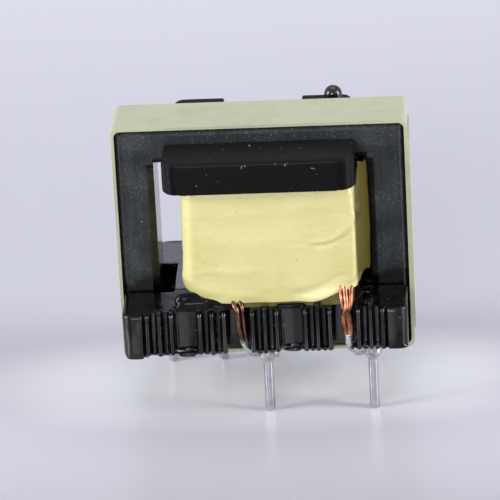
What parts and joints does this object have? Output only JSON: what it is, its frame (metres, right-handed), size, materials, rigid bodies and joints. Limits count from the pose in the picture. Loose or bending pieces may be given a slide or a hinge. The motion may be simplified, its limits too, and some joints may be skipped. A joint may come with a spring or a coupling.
{
  "type": "pcb transformer",
  "caption": "Small switching transformer for a printed circuit board: taped ferrite core on a black ribbed bobbin with soldered pins and copper leads.",
  "frame": {"origin": "middle of the seat: the underside of the taped core, where it meets the board", "axes": "+X along the pin rows, towards the end with pin 5; +Y from the secondary side to the primary side; +Z away from the board"},
  "size_m": [0.0197, 0.0138, 0.0196],
  "materials": {
    "ferrite": "pressed and sintered, dark grey, thinly varnished",
    "core_tape": "pale polyester tape over the dark core",
    "winding_tape": "pale yellow polyester tape, varnished",
    "bobbin": "black moulded plastic, dipped in clear varnish",
    "enamelled_copper": "copper wire with clear enamel",
    "tinned_wire": "bright tinned steel wire",
    "solder": "solder under clear varnish"
  },
  "bodies": {
    "root": {"core_lower": "ferrite", "core_upper": "ferrite", "core_tape": "core_tape", "bobbin": "bobbin", "primary_inner": "enamelled_copper", "insulation_inner": "winding_tape", "primary_outer": "enamelled_copper", "insulation_outer": "winding_tape", "margin_tape": "winding_tape", "secondary_winding": "enamelled_copper", "outer_tape": "winding_tape", "pin_front_3": "tinned_wire", "pin_front_5": "tinned_wire", "pin_rear_1": "tinned_wire", "pin_rear_2": "tinned_wire", "pin_rear_3": "tinned_wire", "joint_front_3": "solder", "joint_front_5": "solder", "joint_rear_1": "solder", "joint_rear_2": "solder", "joint_rear_3": "solder"}
  },
  "joints": []
}
